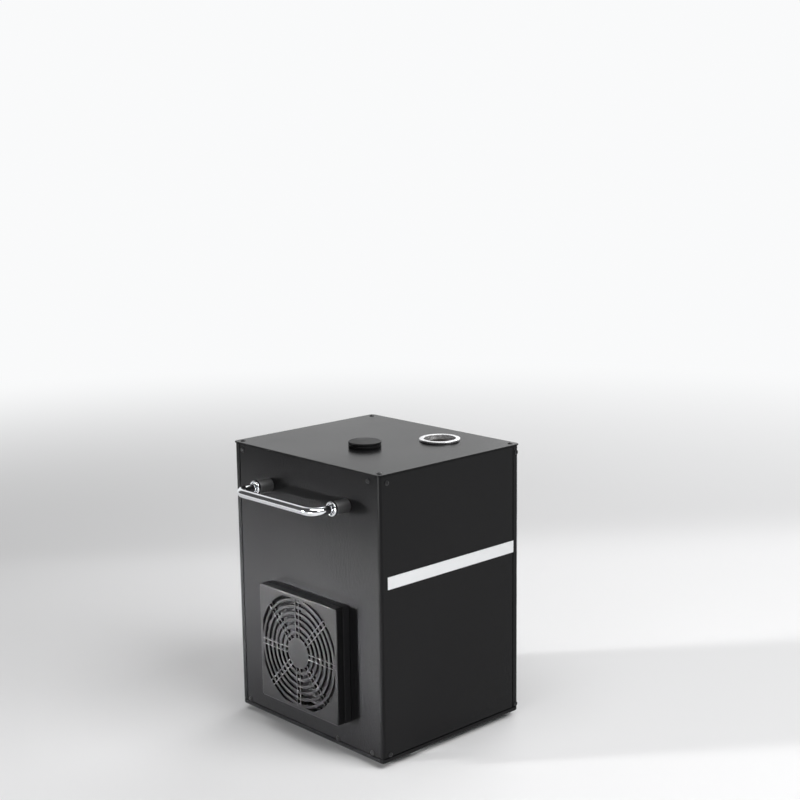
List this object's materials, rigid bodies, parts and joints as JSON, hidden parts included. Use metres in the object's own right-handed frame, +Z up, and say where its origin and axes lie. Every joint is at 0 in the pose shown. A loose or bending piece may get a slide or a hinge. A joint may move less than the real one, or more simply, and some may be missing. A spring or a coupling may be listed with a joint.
{
  "type": "cold spark machine",
  "caption": "Upright black box with a side carry handle on each flank, a square fan guard, a hopper cap and a round spark nozzle on top, and menu and sockets behind.",
  "frame": {"origin": "middle of the footprint, on the floor under the rubber feet", "axes": "+Z up; -Y is the front face with the light strip; -X is the face with the fan guard; +Y is the rear panel"},
  "size_m": [0.2958, 0.2384, 0.31],
  "materials": {
    "black_coat": "fine-textured black powder coat, satin",
    "black_plastic": "moulded black plastic, satin",
    "chrome": "polished chrome plate",
    "silver_trim": "bright satin aluminium strip",
    "rubber": "matt black rubber",
    "foam": "open black filter foam",
    "zinc_plate": "satin light metal, zinc grey",
    "bare_steel": "brushed bare steel",
    "copper": "bare copper wire, dulled",
    "insulation": "pale pressed heat insulation",
    "circuit_board": "green solder mask",
    "display_glass": "dark clear display window",
    "red_plastic": "gloss red rocker"
  },
  "bodies": {
    "case": {"base_tray": "black_coat", "front_cover": "black_coat", "rear_shell": "black_coat", "top_plate": "black_coat", "foot_front_left": "rubber", "foot_front_right": "rubber", "foot_rear_left": "rubber", "foot_rear_right": "rubber", "trim_strip": "silver_trim", "handle_bar_left": "chrome", "ferrule_left_a": "chrome", "ferrule_left_b": "chrome", "standoff_left_a": "black_plastic", "standoff_left_b": "black_plastic", "handle_bar_right": "chrome", "ferrule_right_a": "chrome", "ferrule_right_b": "chrome", "standoff_right_a": "black_plastic", "standoff_right_b": "black_plastic", "guard_frame": "black_plastic", "filter_pad": "foam", "fan_frame": "black_plastic", "hopper_neck": "black_plastic", "hopper_funnel": "zinc_plate", "feed_barrel": "zinc_plate", "feed_gearbox": "zinc_plate", "feed_motor": "zinc_plate", "barrel_saddle": "zinc_plate", "heater_core": "bare_steel", "heater_coil": "copper", "heater_sleeve": "insulation", "nozzle_tube": "bare_steel", "nozzle_ring": "bare_steel", "shelf_bracket": "zinc_plate", "blower_housing": "black_plastic", "blower_motor": "zinc_plate", "air_pipe": "bare_steel", "power_supply": "zinc_plate", "control_board": "circuit_board", "display_window": "display_glass", "display_board": "circuit_board", "signal_input": "black_plastic", "signal_output": "black_plastic", "power_inlet": "black_plastic", "switch_frame": "black_plastic", "fuse_holder": "black_plastic"},
    "fan": {"fan_rotor": "black_plastic"},
    "grille": {"guard_cover": "black_plastic"},
    "cap": {"hopper_cap": "black_plastic"},
    "feed_screw": {"feed_auger": "bare_steel", "auger_coupling": "bare_steel", "drive_shaft": "bare_steel"},
    "impeller": {"blower_impeller": "black_plastic"},
    "rocker": {"switch_rocker": "red_plastic"},
    "menu_key": {"button_menu": "black_plastic"},
    "down_key": {"button_down": "black_plastic"},
    "up_key": {"button_up": "black_plastic"},
    "enter_key": {"button_enter": "black_plastic"},
    "fuse": {"fuse_carrier": "black_plastic"},
    "tab": {"release_tab": "bare_steel"}
  },
  "joints": [
    {"name": "fan_spin", "type": "hinge", "parent": "case", "child": "fan", "pos_m": [-0.0857, -0.009, 0.1], "axis": [-1, 0, 0], "continuous": true},
    {"name": "grille_pull", "type": "slide", "parent": "case", "child": "grille", "axis": [-1, 0, 0], "range_m": [0, 0.03]},
    {"name": "cap_lift", "type": "slide", "parent": "case", "child": "cap", "axis": [0, 0, 1], "range_m": [0, 0.025]},
    {"name": "screw_spin", "type": "hinge", "parent": "case", "child": "feed_screw", "pos_m": [-0.022, -0.011, 0.196], "axis": [0.9015, -0.4327, 0], "continuous": true},
    {"name": "impeller_spin", "type": "hinge", "parent": "case", "child": "impeller", "pos_m": [0.0185, -0.047, 0.062], "axis": [0, -1, 0], "continuous": true},
    {"name": "rocker_tilt", "type": "hinge", "parent": "case", "child": "rocker", "pos_m": [0, 0.112, 0.068], "axis": [-1, 0, 0], "range_deg": [0, 20]},
    {"name": "menu_press", "type": "slide", "parent": "case", "child": "menu_key", "axis": [0, -1, 0], "range_m": [0, 0.001], "stiffness_N_per_m": 800},
    {"name": "down_press", "type": "slide", "parent": "case", "child": "down_key", "axis": [0, -1, 0], "range_m": [0, 0.001], "stiffness_N_per_m": 800},
    {"name": "up_press", "type": "slide", "parent": "case", "child": "up_key", "axis": [0, -1, 0], "range_m": [0, 0.001], "stiffness_N_per_m": 800},
    {"name": "enter_press", "type": "slide", "parent": "case", "child": "enter_key", "axis": [0, -1, 0], "range_m": [0, 0.001], "stiffness_N_per_m": 800},
    {"name": "fuse_draw", "type": "slide", "parent": "case", "child": "fuse", "axis": [0, 1, 0], "range_m": [0, 0.026]},
    {"name": "tab_press", "type": "slide", "parent": "case", "child": "tab", "axis": [0, -1, 0], "range_m": [0, 0.0016], "stiffness_N_per_m": 600}
  ]
}
